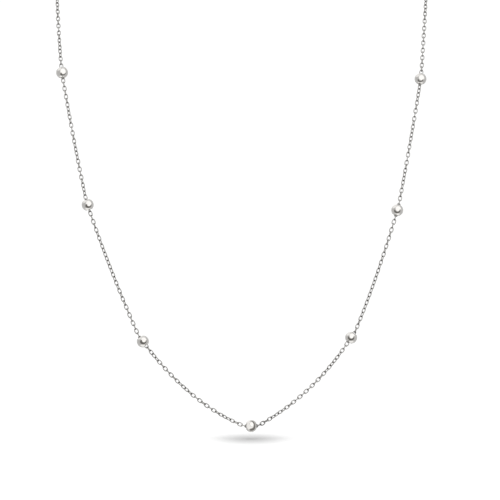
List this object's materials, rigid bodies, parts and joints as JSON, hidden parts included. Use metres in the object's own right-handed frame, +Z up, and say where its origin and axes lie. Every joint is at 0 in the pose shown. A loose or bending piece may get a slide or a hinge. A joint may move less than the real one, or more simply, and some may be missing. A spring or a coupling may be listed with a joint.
{
  "type": "ball station chain necklace",
  "caption": "Fine cable chain necklace in polished silver, with small drilled balls threaded on it at equal steps and a ring clasp at the nape.",
  "frame": {"origin": "the point at the back of the neck that the clasp rests on, in the middle of the clasp and its end rings", "axes": "+Z up, +X to the right seen from the front, +Y to the back, away from the viewer"},
  "size_m": [0.097, 0.0887, 0.1385],
  "materials": {
    "ball_silver": "mirror polished silver",
    "chain_silver": "polished silver wire",
    "clasp_silver": "polished silver, lightly worn"
  },
  "bodies": {
    "root": {"chain": "chain_silver", "ball_01": "ball_silver", "ball_02": "ball_silver", "ball_03": "ball_silver", "ball_04": "ball_silver", "ball_05": "ball_silver", "ball_06": "ball_silver", "ball_07": "ball_silver", "ball_08": "ball_silver", "ball_09": "ball_silver", "ball_10": "ball_silver", "ball_11": "ball_silver", "clasp": "clasp_silver", "end_ring_left": "clasp_silver", "end_ring_right": "clasp_silver"}
  },
  "joints": []
}
